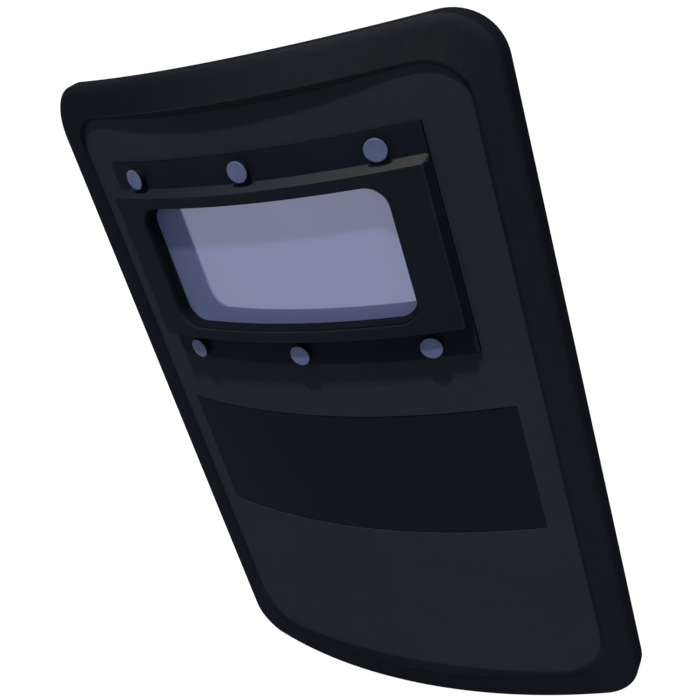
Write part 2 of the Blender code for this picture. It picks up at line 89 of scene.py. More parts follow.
power = node(roomTree, "MapRange", {
    "Value": skyward, "From Min": light["fadeTo"], "From Max": light["fadeFrom"],
    "To Min": light["floorPower"], "To Max": light["roomPower"]}).outputs["Result"]
roomTree.links.new(power, pale.inputs["Strength"])
backdrop = node(roomTree, "Background", {"Color": (*light["backdrop"], 1)})
seen = node(roomTree, "MixShader", {0: node(roomTree, "LightPath").outputs["Is Camera Ray"],
                                    1: pale.outputs[0], 2: backdrop.outputs[0]})
roomTree.links.new(seen.outputs[0], roomTree.nodes["World Output"].inputs["Surface"])
bpy.context.scene.world = room
bpy.context.scene.view_settings.view_transform = "Standard"


# Shape tools. A flat point is (arc across the shield, height up it, distance in front of the body's face)

bendRadius = 0.825  # of the body's front face
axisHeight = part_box("shell")[1].z - bendRadius
fitGap = 0.0003  # between pieces that touch
shellThickness = 0.010
shellBack = -shellThickness - fitGap
poleRadius = 0.0004  # of the last ring before a pole
softness = {"steps": 4, "guard": 0.0014, "fineGuard": 0.0004, "mostCut": 0.45, "mostGuard": 0.3,
            "endWear": 0.4}


def ramp(value, start, end):
    # from 0 at the start to 1 at the end
    return np.clip((value - start) / (end - start), 0, 1)


def bent(flat):
    # turn = arc / radius; x = (radius + front) sin turn, z = axis height + (radius + front) cos turn
    turn = flat[..., 0] / bendRadius
    reach = bendRadius + flat[..., 2]
    return np.stack((reach * np.sin(turn), flat[..., 1], axisHeight + reach * np.cos(turn)), -1)


def flattened(across, rise):
    # the arc and front distance of a place given across the shield and over the floor
    rise = rise - axisHeight
    return bendRadius * math.atan2(across, rise), math.hypot(across, rise) - bendRadius


def seated(local, arc, up):
    # a rigid piece stood on the bent face: its x along the arc, y up the shield, z out of the front
    turn = arc / bendRadius
    along = np.array((math.cos(turn), 0, -math.sin(turn)))
    outward = np.array((math.sin(turn), 0, math.cos(turn)))
    foot = bendRadius * outward + np.array((0, up, axisHeight))
    return foot + local @ np.array((along, (0, 1, 0), outward))


def halfArc(node, front):
    # arc from the centre line to the node's widest point, which lies that far in front of the face
    return bendRadius * math.asin(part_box(node)[1].x / (bendRadius + front))


def middleUp(node):
    low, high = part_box(node)
    return (low.y + high.y) / 2


def roundedLoop(halfWidth, low, high, corner, counts=(64, 40, 12), centre=0.0):
    # four straight runs, each followed by a quarter circle, anticlockwise from the right side's foot; the
    # corner is one radius, or a pair for the top and the bottom
    top, bottom = np.broadcast_to(corner, 2)
    radii = (top, top, bottom, bottom)
    centres = ((halfWidth - top, high - top), (top - halfWidth, high - top),
               (bottom - halfWidth, low + bottom), (halfWidth - bottom, low + bottom))
    points, angles = [], []
    for index, (middle, radius) in enumerate(zip(centres, radii)):
        start = index * math.pi / 2
        outward = np.array((math.cos(start), math.sin(start)))
        run = np.linspace(0, 1, counts[1 - index % 2], endpoint=False)[:, None]
        points.append((1 - run) * (centres[index - 1] + radii[index - 1] * outward)
                      + run * (middle + radius * outward))
        angles.append(np.full(len(run), start))
        sweep = start + np.linspace(0, math.pi / 2, counts[2], endpoint=False)
        points.append(middle + radius * np.stack((np.cos(sweep), np.sin(sweep)), -1))
        angles.append(sweep)
    return np.concatenate(points) + np.array((centre, 0)), np.concatenate(angles)


def levelAt(loop, front, frontAtEnds=None):
    # a loop at one distance in front of the face, or at one for the long sides that blends to another for
    # the ends: share of the sides = cos(angle) ^ 2
    points, angles = loop
    share = np.cos(angles) ** 2
    ends = front if frontAtEnds is None else frontAtEnds
    return np.column_stack((points, front * share + ends * (1 - share)))


def softSection(levels, look, closed=True, guard=softness["guard"]):
    # each corner of the section is a quadratic curve from a cut before it to a cut after it, for t from 0
    # to 1, with wear = worn (end + (1 - end) sin(pi t)); the straight runs between have a row a guard's
    # length from each curve, and their spans of even rows
    corners = np.array(levels)
    cuts, most, end = np.array(look["cuts"])[:, None, None], softness["mostCut"], softness["endWear"]
    before = np.roll(corners, 1, 0) - corners
    after = np.roll(corners, -1, 0) - corners
    starts = corners + before * np.minimum(cuts / np.linalg.norm(before, axis=2, keepdims=True), most)
    ends = corners + after * np.minimum(cuts / np.linalg.norm(after, axis=2, keepdims=True), most)
    last = len(corners) - 1
    if not closed:
        starts[[0, last]] = ends[[0, last]] = corners[[0, last]]
    rows, wearAndPaintedLight = [], []
    for index, corner in enumerate(corners):
        if closed or 0 < index < last:
            for t in np.linspace(0, 1, softness["steps"] + 1):
                rows.append((1 - t) ** 2 * starts[index] + 2 * t * (1 - t) * corner + t * t * ends[index])
                wearAndPaintedLight.append(look["wornAndLit"][index] * (end + (1 - end) * math.sin(math.pi * t)))
        else:
            rows.append(corner)
            wearAndPaintedLight.append(0.0)
        if closed or index < last:
            run = starts[(index + 1) % len(corners)] - ends[index]
            near = np.minimum(guard / np.linalg.norm(run, axis=1, keepdims=True), softness["mostGuard"])
            for share in np.linspace(0, 1, look["spans"][index] + 2):
                rows.append(ends[index] + run * (near + (1 - 2 * near) * share))
                wearAndPaintedLight.append(0.0)
    return np.array(rows), np.array(wearAndPaintedLight)


def softProfile(points, look):
    # the same for an open profile of (radius, height)
    rows, wearAndPaintedLight = softSection(np.array(points)[:, None], look, closed=False, guard=softness["fineGuard"])
    return rows[:, 0], wearAndPaintedLight


def turned(profile, around=48):
    # each (radius, height) of the profile swept round the local z axis
    sweep = np.linspace(0, 2 * math.pi, around, endpoint=False)
    ring = np.stack((np.cos(sweep), np.sin(sweep), np.zeros(around)), -1)
    return profile[:, :1, None] * ring + profile[:, 1:, None] * np.array((0, 0, 1))


def loft(name, rows, wearAndPaintedLight=None, closed=True, own=None):
    # rows (count, around, 3) of rings, or several such stacks at once: quads join each ring to the next.
    # A closed stack joins its last ring to its first, and an open one gets a pole at each end. The mesh
    # keeps each point's value of wear and painted light, and its own flat place for patterns that follow
    # the surface
    rows = rows.reshape(-1, *rows.shape[-3:])
    stacks, count, around = rows.shape[:3]
    own = rows if own is None else own.reshape(rows.shape)
    grid = np.arange(stacks * count * around).reshape(stacks, count, around)
    beside, above = np.roll(grid, -1, 2), np.roll(grid, -1, 1)
    quads = np.stack((grid, beside, np.roll(above, -1, 2), above), -1)
    quads = (quads if closed else quads[:, :-1]).reshape(-1, 4)
    points, places = rows.reshape(-1, 3), own.reshape(-1, 3)
    wearAndPaintedLight = np.zeros(count) if wearAndPaintedLight is None else wearAndPaintedLight
    wornAndLit = np.tile(np.broadcast_to(wearAndPaintedLight.reshape(count, -1), (count, around)).ravel(), stacks)
    faces = quads.tolist()
    if not closed:
        for end in (0, -1):
            poles = np.broadcast_to(len(points) + np.arange(stacks)[:, None], (stacks, around))
            points = np.vstack((points, rows[:, end].mean(1)))
            places = np.vstack((places, own[:, end].mean(1)))
            wornAndLit = np.append(wornAndLit, np.zeros(stacks))
            pair = (beside[:, end], grid[:, end]) if end == 0 else (grid[:, end], beside[:, end])
            faces += np.stack((poles, *pair), -1).reshape(-1, 3).tolist()
    a, b, c, d = (points[quads[:, side]] - points.mean(0) for side in range(4))
    if np.sum(a * np.cross(b, c) + a * np.cross(c, d)) < 0:      # six times the volume inside
        faces = [face[::-1] for face in faces]
    mesh = bpy.data.meshes.new(name)
    mesh.from_pydata(points.tolist(), [], faces)
    mesh.attributes.new("wearAndPaintedLight", "FLOAT", "POINT").data.foreach_set("value", wornAndLit.astype(np.float32))
    mesh.attributes.new("own", "FLOAT_VECTOR", "POINT").data.foreach_set(
        "vector", places.astype(np.float32).ravel())
    mesh.shade_smooth()
    piece = bpy.data.objects.new(name, mesh)
    bpy.context.scene.collection.objects.link(piece)
    return piece


def plate(name, loop, back, front, cut, rows=24, wornAndLit=(0.18, 0.6), core=0.03):
    # a closed plate: its outline, and the same outline drawn in towards the middle of each face; its back
    # edge and its front edge are worn
    points, angles = loop
    inner = points.mean(0) + (points - points.mean(0)) * core, angles
    levels = [levelAt(inner, back), levelAt(loop, back), levelAt(loop, front), levelAt(inner, front)]
    look = {"cuts": (0, cut, cut, 0), "spans": (rows, 1, rows), "wornAndLit": (0, *wornAndLit, 0)}
    section, wearAndPaintedLight = softSection(levels, look, closed=False)
    return loft(name, bent(section), wearAndPaintedLight, closed=False, own=section)


def drill(arc, up, radius, back, front, sides=32):
    # a cutter square to the bent face, from one distance in front of it to another
    profile = np.array(((radius, back), (radius, front)))
    return loft("drill", seated(turned(profile, sides), arc, up), closed=False)


def combined(piece, others, operation, sharpAngle=35):
    # the others cut from the piece or joined to it, made plain mesh with its hard edges marked
    for other in others:
        step = piece.modifiers.new(operation.lower(), "BOOLEAN")
        step.operation = operation
        step.solver = "MANIFOLD"
        step.object = other
    made = bpy.data.meshes.new_from_object(piece.evaluated_get(bpy.context.evaluated_depsgraph_get()))
    piece.modifiers.clear()
    piece.data = made
    made.shade_smooth()
    made.set_sharp_from_angle(angle=math.radians(sharpAngle))
    for other in others:
        bpy.data.objects.remove(other, do_unlink=True)
    return piece


# Finish tools

patterns = {"mottle": (5, 0.6), "grain": (3, 0.55), "marks": (4, 0.7),  # detail and roughness
            "wornAndLitMarks": (0.42, 0.68), "markRough": 0.05, "blackAndShadeEdge": 0.0004,
            "weavePits": 0.55, "weaveTop": 0.6}
plainLook = {"lay": (1, 1, 1), "metal": 0}
black = (0, 0, 0)


def spread(tree, source, low, high, fromLow=0.3, fromHigh=0.7):
    # the source's own range stretched to another one
    return node(tree, "MapRange", {"Value": source, "From Min": fromLow, "From Max": fromHigh,
                                   "To Min": low, "To Max": high}).outputs["Result"]


def sums(tree, how, first, second):
    return node(tree, "Math", {0: first, 1: second}, operation=how, use_clamp=True).outputs[0]


def blended(tree, share, first, second):
    # Mix keeps its share in socket 0 and its colours in 6 and 7
    first, second = (color if isinstance(color, bpy.types.NodeSocket) else (*color, 1)
                     for color in (first, second))
    return node(tree, "Mix", {0: share, 6: first, 7: second}, data_type="RGBA").outputs[2]


def noise(tree, place, scale, detail, rough):
    return node(tree, "TexNoise", {"Vector": place, "Scale": scale, "Detail": detail,
                                   "Roughness": rough}).outputs["Fac"]


def ownPlace(tree):
    return node(tree, "Attribute", attribute_name="own", attribute_type="GEOMETRY").outputs["Vector"]


def turningMarks(tree):
    # the place measured as (distance from the axis, height): a pattern on it runs in rings
    parts = node(tree, "SeparateXYZ", {0: ownPlace(tree)}).outputs
    flat = node(tree, "CombineXYZ", {0: parts[0], 1: parts[1]}).outputs[0]
    reach = node(tree, "VectorMath", {0: flat}, operation="LENGTH").outputs["Value"]
    return node(tree, "CombineXYZ", {0: reach, 2: parts[2]}).outputs[0]


def paint(name, sockets):
    # a material with plain values
    made = bpy.data.materials.new(name)
    made.use_nodes = True
    shader = made.node_tree.nodes["Principled BSDF"]
    for socket, value in sockets.items():
        shader.inputs[socket].default_value = value
    return made, shader


def finish(name, look, weave=None):
    # colour: two tones by a slow mottle, darker in the pits of a fine grain, the pale tone where the value
    # of wear and painted light is above zero and the marks are strong, and black where that value is below
    # zero; the pale tone is real edge wear and also painted highlight on the rim and the housing's slope,
    # and the black is painted shade. A look may
    # have a darker part below a height: blackened steel, and also painted shade on the bolt heads' sides.
    # Roughness follows mottle and marks, and grain and marks raise the surface
    look = {**plainLook, **look}
    made, shader = paint(name, {"Metallic": look["metal"], "Specular IOR Level": look["gloss"]})
    tree = made.node_tree
    place = node(tree, "TexCoord").outputs["Object"]
    mottle = noise(tree, place, look["mottle"], *patterns["mottle"])
    grain = noise(tree, place, look["grain"], *patterns["grain"])
    if look["lay"] == "turned":
        lay = turningMarks(tree)
    else:
        lay = node(tree, "Mapping", {"Vector": place, "Scale": look["lay"]}).outputs[0]
    marks = noise(tree, lay, look["marks"], *patterns["marks"])
    color = blended(tree, spread(tree, mottle, 0, 1), look["dark"], look["light"])
    color = blended(tree, spread(tree, grain, look["pits"], 0), color, black)
    ridge = node(tree, "Attribute", attribute_name="wearAndPaintedLight", attribute_type="GEOMETRY").outputs["Fac"]
    share = sums(tree, "MULTIPLY", ridge, spread(tree, marks, *look["wearAndPaintedLight"], *patterns["wornAndLitMarks"]))
    color = blended(tree, share, color, look["wornAndLit"])
    # painted shade: black where the value is below zero
    color = blended(tree, spread(tree, ridge, 1, 0, -1, 0), color, black)
    # a darker part below a height: blackened steel, and also painted shade under a bolt head's face
    if "blackAndShadeBelow" in look:
        high = node(tree, "SeparateXYZ", {0: ownPlace(tree)}).outputs[2]
        share = spread(tree, high, 0, 1, look["blackAndShadeBelow"], look["blackAndShadeBelow"] + patterns["blackAndShadeEdge"])
        color = blended(tree, share, look["blackAndShadeColor"], color)
    relief = node(tree, "Bump", {"Height": grain, "Distance": look["depth"]})
    relief = node(tree, "Bump", {"Height": marks, "Distance": look["markDepth"],
                                 "Normal": relief.outputs[0]})
    if weave:
        height = weave(tree)
        share = spread(tree, height, patterns["weavePits"], 0, 0, patterns["weaveTop"])
        color = blended(tree, share, color, black)
        relief = node(tree, "Bump", {"Height": height, "Distance": look["weaveDepth"],
                                     "Normal": relief.outputs[0]})
    tree.links.new(color, shader.inputs["Base Color"])
    uneven = spread(tree, marks, -patterns["markRough"], patterns["markRough"])
    rough = sums(tree, "ADD", spread(tree, mottle, *look["rough"]), uneven)
    tree.links.new(rough, shader.inputs["Roughness"])
    tree.links.new(relief.outputs[0], shader.inputs["Normal"])
    return made


def wovenHeight(tree):
    # two thread directions: height = wave across the strap * wave along it, each pi / (10 scale) wide
    scales = {"X": 625, "Y": 1250 / 3}
    place = ownPlace(tree)
    ribs, weft = (node(tree, "TexWave", {"Vector": place, "Scale": scale}, bands_direction=way)
                  for way, scale in scales.items())
    return sums(tree, "MULTIPLY", ribs.outputs["Fac"], weft.outputs["Fac"])


def fit(piece, material, slot, *nodes):
    # the piece takes its finish and its place: it rides on the shield and stands for the named solids
    piece.data.materials.clear()
    piece.data.materials.append(material)
    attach(piece, "root")
    if nodes:
        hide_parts(*nodes)


coating = finish("sprayedCoating", {
    "dark": (0.0220, 0.0262, 0.0332), "light": (0.0266, 0.0313, 0.0396), "wornAndLit": (0.045, 0.048, 0.052),
    "mottle": 7, "grain": 900, "pits": 0.35, "depth": 0.0004, "marks": 60,
    "markDepth": 0.0001, "wearAndPaintedLight": (0, 0.5), "rough": (0.70, 0.84), "gloss": 0.03})
# its pale tone is worn rubber and also the rim's painted highlight
rubber = finish("mouldedRubber", {
    "dark": (0.0084, 0.0101, 0.0149), "light": (0.0104, 0.0126, 0.0180), "wornAndLit": (0.0207, 0.0222, 0.0270),
    "mottle": 9, "grain": 1500, "pits": 0.25, "depth": 0.00015, "marks": 90,
    "markDepth": 0.0001, "wearAndPaintedLight": (0.65, 0.9), "rough": (0.60, 0.74), "gloss": 0.012})
# its pale tone is worn metal and also the housing slope's painted highlight
blackMetal = finish("blackenedAlloy", {
    "dark": (0.0084, 0.0116, 0.0170), "light": (0.0106, 0.0143, 0.0206), "wornAndLit": (0.045, 0.0445, 0.045),
    "mottle": 12, "grain": 2200, "pits": 0.2, "depth": 0.00008, "lay": (1, 0.12, 1), "marks": 130,
    "markDepth": 0.00004, "wearAndPaintedLight": (0.75, 1.0), "rough": (0.50, 0.62), "gloss": 0.025})
# dark seal rubber, which also stands as painted shade on the window opening's walls
dullRubber = finish("dullSealRubber", {
    "dark": (0.0038, 0.0050, 0.0070), "light": (0.0054, 0.0070, 0.0096), "wornAndLit": (0.008, 0.009, 0.011),
    "mottle": 20, "grain": 1500, "pits": 0.2, "depth": 0.00012, "marks": 90,
    "markDepth": 0.00005, "wearAndPaintedLight": (0, 0.4), "rough": (0.75, 0.88), "gloss": 0.04})
panelSheet = finish("blankPanelSheet", {
    "dark": (0.0060, 0.0081, 0.0119), "light": (0.0076, 0.0100, 0.0142), "wornAndLit": (0.03, 0.031, 0.034),
    "mottle": 6, "grain": 2600, "pits": 0.2, "depth": 0.00006, "lay": (0.15, 1, 1), "marks": 160,
    "markDepth": 0.00003, "wearAndPaintedLight": (0, 0.3), "rough": (0.64, 0.76), "gloss": 0.05})
# blue-grey steel on the heads' faces; below them it is blackened, which is also painted shade on the
# heads' sides and collars; the nuts and screws are all blackened
boltSteel = finish("bluedSteel", {
    "dark": (0.103, 0.126, 0.240), "light": (0.142, 0.170, 0.300), "wornAndLit": (0.26, 0.28, 0.36),
    "mottle": 45, "grain": 1800, "pits": 0.15, "depth": 0.00005, "lay": "turned", "marks": 1600,
    "markDepth": 0.00006, "wearAndPaintedLight": (0, 0.6), "rough": (0.42, 0.56), "gloss": 0.15, "metal": 0.2,
    "blackAndShadeBelow": 0.0136, "blackAndShadeColor": (0.006, 0.007, 0.011)})
gripRubber = finish("ribbedRubber", {
    "dark": (0.009, 0.009, 0.010), "light": (0.012, 0.012, 0.013), "wornAndLit": (0.035, 0.035, 0.037),
    "mottle": 30, "grain": 1600, "pits": 0.25, "depth": 0.00015, "marks": 120,
    "markDepth": 0.00008, "wearAndPaintedLight": (0, 0.6), "rough": (0.60, 0.74), "gloss": 0.25})
webbing = finish("wovenWebbing", {
    "dark": (0.010, 0.010, 0.011), "light": (0.014, 0.014, 0.015), "wornAndLit": (0.045, 0.045, 0.046),
    "mottle": 25, "grain": 2400, "pits": 0.3, "depth": 0.0001, "marks": 200,
    "markDepth": 0.0001, "wearAndPaintedLight": (0, 0.5), "rough": (0.80, 0.92), "gloss": 0.2,
    "weaveDepth": 0.0003}, wovenHeight)
thread = finish("stitchThread", {
    "dark": (0.020, 0.020, 0.021), "light": (0.030, 0.030, 0.032), "wornAndLit": (0.05, 0.05, 0.05),
    "mottle": 40, "grain": 3000, "pits": 0.3, "depth": 0.00006, "marks": 300,
    "markDepth": 0.00005, "wearAndPaintedLight": (0, 0.2), "rough": (0.70, 0.80), "gloss": 0.25})


# clear lavender block: plain see-through values, and a thin glossy coat
clearGlass, _ = paint("laminatedGlass", {
    "Base Color": (0.228, 0.262, 0.489, 1), "Roughness": 0.02, "Alpha": 0.757, "Transmission Weight": 0.4,
    "IOR": 1.02, "Coat Weight": 0.1, "Coat Roughness": 0.04})
print("finishes mixed")


# Body: one pressed sheet, with the window, the bolt holes, the panel's field and blind screw holes. It
# takes places from the pieces that it is cut for, so their settings stand here too

body = {"corner": (0.055, 0.036), "cuts": (0.0008,) * 4, "spans": (26, 0, 26, 0), "wornAndLit": (0,) * 4,
        "fieldHalf": 0.244, "fieldCorner": 0.003, "fieldDepth": 0.0022, "fieldFront": 0.004,
        "fieldEdge": 0.0003, "boltHole": 0.0066, "boltDrill": (-0.02, 0.02), "screwHole": 0.0028,
        "screwDrill": (-0.02, -0.0041)}
bolt = {"arc": 0.1686, "headRadius": 0.0137, "collar": 0.0112, "headHeight": 0.0092, "bevel": 0.001,
        "headEdge": 0.0026, "underHead": 0.005, "shank": 0.006, "end": -0.0305, "threadFrom": -0.014,
        "pitch": 0.00175, "threadDepth": 0.0006, "threadRows": 66, "threadFade": 0.002, "threadWorn": 0.3,
        "tip": 0.001, "cuts": (0, 0.0006, 0.0005, 0.0004, 0.0004, 0.0003, 0.0003, 0),
        "spans": (5, 0, 0, 0, 1, 1, 1), "wornAndLit": (0, 0.4, 0.3, 0.1, 0, 0, 0, 0)}
glass = {"overlap": 0.008, "front": 0.0048, "back": -0.0175, "gap": 0.0004, "edge": 0.0008,
         "corner": 0.028}
handle = {"arc": 0.080, "up": -0.050, "depth": 0.059, "halfSpan": 0.078, "bar": 0.006, "bend": 0.018,
          "rows": 13, "around": 32, "wornAndLit": 0.1, "sunk": 0.002, "weld": 0.003, "weldReach": 0.004,
          "footHalf": (0.020, 0.023), "footCorner": 0.005, "footCounts": (10, 10, 8), "footEdge": 0.0006,
          "footOut": 0.006, "footThick": 0.0043, "screwOut": 0.013, "screwAside": 0.012}
strap = {"arc": -0.150, "halfWidth": 0.025, "thick": 0.0024, "halfSpan": 0.048, "rise": 0.046, "bow": 0.8,
         "foot": 0.032, "edge": 0.0011, "counts": (64, 1, 4), "screwAside": 0.030, "pitch": 0.0032,
         "weaveDepth": 0.00022, "rowsPerThread": 4, "bowRows": 400, "footRows": 60, "smoothed": 6}
clamp = {"halfWidth": 0.035, "halfLength": 0.011, "thick": 0.003, "corner": 0.003, "counts": (20, 6, 6),
         "edge": 0.0007}
fixtureDrill = (-0.03, 0)  # through the handle's feet and the strap's clamps
smallPlateRows = 4
sides = {"left": -1, "middle": 0, "right": 1}
ends = {"upper": 1, "lower": -1}


def openingLoop(outwards, counts=(64, 40, 12)):
    # the outline of the window's opening, or one outside it
    low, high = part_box("viewport_glass")
    grow = outwards - glass["overlap"]
    return roundedLoop(halfArc("viewport_glass", glass["front"]) + grow, low.y - grow, high.y + grow,
                       glass["corner"] + outwards, counts)


def boltPlaces():
    return [(f"{row}_{side}", place * bolt["arc"], middleUp(f"bolt_{row}_{side}"))
            for row in ("top", "bottom") for side, place in sides.items()]


def screwPlaces():
    kinds = {"handle": (handle, handle["halfSpan"] + handle["screwOut"]),
             "strap": (strap, strap["halfSpan"] + strap["foot"] / 2)}
    return [(f"{kind}_screw_{end}_{side}", look["arc"] + sides[side] * look["screwAside"],
             handle["up"] + outward * reach)
            for end, outward in ends.items() for side in ("left", "right")
            for kind, (look, reach) in kinds.items()]


def boltDrills(back, front):
    return [drill(arc, up, body["boltHole"], back, front) for _, arc, up in boltPlaces()]


def screwDrills(which, back, front):
    return [drill(arc, up, body["screwHole"], back, front) for name, arc, up in screwPlaces()
            if which in name]


def makeBody():
    # the sheet's section carried round its outline and the window's, less the field and the holes
    low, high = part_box("shell")
    outer = roundedLoop(halfArc("shell", 0), low.y, high.y, body["corner"])
    inner = openingLoop(glass["overlap"] + glass["gap"])
    levels = [levelAt(outer, 0), levelAt(inner, 0), levelAt(inner, -shellThickness),
              levelAt(outer, -shellThickness)]
    section, wearAndPaintedLight = softSection(levels, body)
    shell = loft("bodyShell", bent(section), wearAndPaintedLight, own=section)
    low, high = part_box("id_panel")
    field = roundedLoop(body["fieldHalf"], low.y - fitGap, high.y + fitGap, body["fieldCorner"])
    cutters = [plate("field", field, -body["fieldDepth"], body["fieldFront"], body["fieldEdge"])]
    cutters += boltDrills(*body["boltDrill"]) + screwDrills("screw", *body["screwDrill"])
    fit(combined(shell, cutters, "DIFFERENCE"), coating, "shell_coating", "shell")


def makePanel():
    # a thin plate sunk below the face
    look = {"sink": 0.0008, "thick": 0.0011, "edge": 0.0003}
    low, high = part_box("id_panel")
    loop = roundedLoop(body["fieldHalf"] - fitGap, low.y, high.y, body["fieldCorner"])
    fit(plate("blankPlate", loop, -look["sink"] - look["thick"], -look["sink"], look["edge"]), panelSheet,
        "panel_plastic", "id_panel")


makeBody()
makePanel()
print("body and panel done")


# Rim: one moulded edging that grips the body's edge, with a wide front and long lips to lie on

rim = {"front": 0.007, "frontEnd": 0.004, "ridge": 0.0045, "crown": 0.0053, "crownReach": 0.200,
       "corner": (0.063, 0.044), "ridgeCorner": (0.054, 0.062), "edge": 0.003, "edgeTop": 0.007,
       "width": (0.032, 0.0405, 0.038), "slope": 0.0042,  # widths of side, top, bottom
       "channel": 0.0077, "backFlange": 0.030, "flangeCorner": 0.036, "flangeBack": -0.0155,
       "flangeDraft": 0.0015, "hollow": 0.015, "hollowCorner": 0.038, "hollowBack": -0.0175,
       "footOuter": 0.305, "footOuterInset": 0.002, "footInner": 0.295, "footInnerInset": 0.011,
       "footInnerCorner": 0.041, "footArch": 0.0005, "heel": 0.002, "lipDepth": -0.021,
       "counts": (72, 60, 16),
       "cuts": (0.003, 0.004, 0.001, 0.0002, 0.0004, 0.0004, 0.0003, 0.0008, 0.003, 0.001, 0.001, 0.001),
       "spans": (0, 6, 0, 1, 1, 1, 0, 2, 4, 1, 0, 3),
       "wornAndLit": (0, 0, 0.2, 0, 0, 0, 0, 0.2, 0, 0.4, 0.4, 0),
       # painted light and shade: reaches below the top and over the bottom, then shares of the width from
       # the left
       "top": (0.10, 0.05), "bottom": (0.045, 0.075), "sheenSpan": (0.36, 0.76), "sheenPower": 0.8,
       "sheenEndFade": (0.92, 1), "sheenEndFaded": 0.6, "right": (0.88, 0.94), "rightSheen": 0.3, "rightSheenRise": 0.1,
       "slopeLitSpan": (0.06, 0.18), "slopeRightLit": 0.8, "slopeShade": 0.45}


def makeRim():
    # the ridges of the two ends rise by crown (1 - (arc / reach) ^ 2), and their slopes' feet move out by
    # as much; the edges that it rests on rise midway by arch (1 - (height / straight half) ^ 2)
    low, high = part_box("rim")
    half = halfArc("rim", rim["front"])

    def level(insets, corner, front, frontAtEnds=None):
        side, top, bottom = insets
        loop = roundedLoop(half - side, low.y + bottom, high.y - top, corner, rim["counts"])
        return levelAt(loop, front, frontAtEnds)

    def wall(across, rise, inset, corner, frontAtEnds):
        arc, front = flattened(across, rise)
        loop = roundedLoop(arc, low.y + inset, high.y - inset, corner, rim["counts"])
        return levelAt(loop, front, frontAtEnds)

    edge, channel, flange, slope = rim["edge"], rim["channel"], rim["backFlange"], rim["slope"]
    edgeRise = axisHeight + (bendRadius + rim["front"]) * math.cos(half / bendRadius)
    corner = np.array(rim["corner"])
    ridge = level(rim["width"], rim["ridgeCorner"], rim["ridge"])
    foot = level([width + slope for width in rim["width"]], np.array(rim["ridgeCorner"]) - slope, fitGap)
    crown = rim["crown"] * np.clip(1 - (ridge[:, 0] / rim["crownReach"]) ** 2, 0, 1)
    ridge[:, 2] += crown
    foot[:, 1] -= np.sign(foot[:, 1]) * crown
    levels = [wall(high.x, edgeRise - edge, 0, corner, rim["frontEnd"] - edge),
              level((edge, rim["edgeTop"], edge), corner - edge, rim["front"], rim["frontEnd"]),
              ridge, foot,
              level((channel,) * 3, corner - channel, fitGap),
              level((channel,) * 3, corner - channel, shellBack),
              level((flange,) * 3, rim["flangeCorner"], shellBack),
              level((flange - rim["flangeDraft"],) * 3, rim["flangeCorner"], rim["flangeBack"]),
              level((rim["hollow"],) * 3, rim["hollowCorner"], rim["hollowBack"]),
              wall(rim["footInner"], 0, rim["footInnerInset"], rim["footInnerCorner"], rim["lipDepth"]),
              wall(rim["footOuter"], 0, rim["footOuterInset"], corner, rim["lipDepth"]),
              wall(high.x, rim["heel"], 0, corner, rim["lipDepth"] + rim["heel"])]
    section, wearAndPaintedLight = softSection(levels, rim)
    # the front is painted paler along the top and down the right, a painted highlight where the key light
    # falls and shines, and so is the ridge's slope, painted lighter where it lies in shade; along the
    # bottom the slope is painted darker, as painted shade. A corner has steps + 1 rows, and the run after
    # it has spans + 2
    perCorner = np.array(rim["spans"]) + softness["steps"] + 3
    part = np.repeat(np.arange(len(levels)), perCorner)[:, None]
    along, up = (section[..., 0] / half + 1) / 2, section[..., 1]
    nearTop = ramp(up, *(high.y - down for down in rim["top"]))
    nearBottom = 1 - ramp(up, *(low.y + rise for rise in rim["bottom"]))
    faded = 1 - rim["sheenEndFaded"] * ramp(along, *rim["sheenEndFade"])
    paintedSheen = ramp(along, *rim["sheenSpan"]) ** rim["sheenPower"] * faded
    side = (1 - nearTop) * ramp(along, *rim["right"]) * (rim["rightSheen"] + rim["rightSheenRise"] * up / high.y)
    wearAndPaintedLight = np.where(part < 2, paintedSheen * nearTop + side, wearAndPaintedLight[:, None])
    slopePaintedLight = (nearTop * ramp(along, *rim["slopeLitSpan"]) + rim["slopeRightLit"] * side
                 - rim["slopeShade"] * nearBottom)
    wearAndPaintedLight = np.where(part == 2, slopePaintedLight, wearAndPaintedLight)
    rows = bent(section)
    middle = np.clip(1 - (rows[..., 1] / (high.y - corner.max())) ** 2, 0, 1)
    rows[..., 2] = np.maximum(rows[..., 2], rim["footArch"] * middle)
    rows[..., 0] = np.clip(rows[..., 0], low.x, high.x)
    fit(loft("rimMoulding", rows, wearAndPaintedLight, own=section), rubber, "rim_rubber", "rim")


makeRim()
print("rim done")


# Viewport: front frame with its raised housing, rear frame, glass block and seal

# a foot, a face and a back are (half width, low, high, corner)
housing = {"flangeFront": 0.0048, "flangeCorner": 0.003, "bevel": 0.001, "front": 0.0218,
           "foot": (0.2195, 0.118, 0.3238, 0.003), "face": (0.214, 0.1218, 0.3185, 0.003),
           "counts": (72, 40, 14), "boltDrill": (-0.01, 0.03),
           "cuts": (0.0003, 0.0006, 0.0006, 0.0006, 0.001, 0.0008, 0.0003, 0.0003, 0.0003),
           "spans": (0, 0, 3, 4, 6, 3, 1, 1, 3), "wornAndLit": (0, 0, 0, 0, 0.3, 0, 0, 0, 0),
           "slopeMargin": (0.0003, 0.0005), "slopeHighlight": 0.95, "slopeHighlightPower": 1.8, "edgeShadeMargin": 0.0001,
           "edgeShade": -0.6}
rear = {"plateBack": -0.015, "foot": (0.192, 0.112, 0.325, 0.040), "back": (0.186, 0.118, 0.319, 0.036),
        "boxBack": -0.038, "boltDrill": (-0.05, 0),
        "cuts": (0.0003, 0.0012, 0.0016, 0.003, 0.002, 0.0003, 0.0003, 0.0003),
        "spans": (0, 3, 5, 3, 4, 1, 1, 3), "wornAndLit": (0, 0.8, 0, 1, 0.7, 0, 0, 0)}
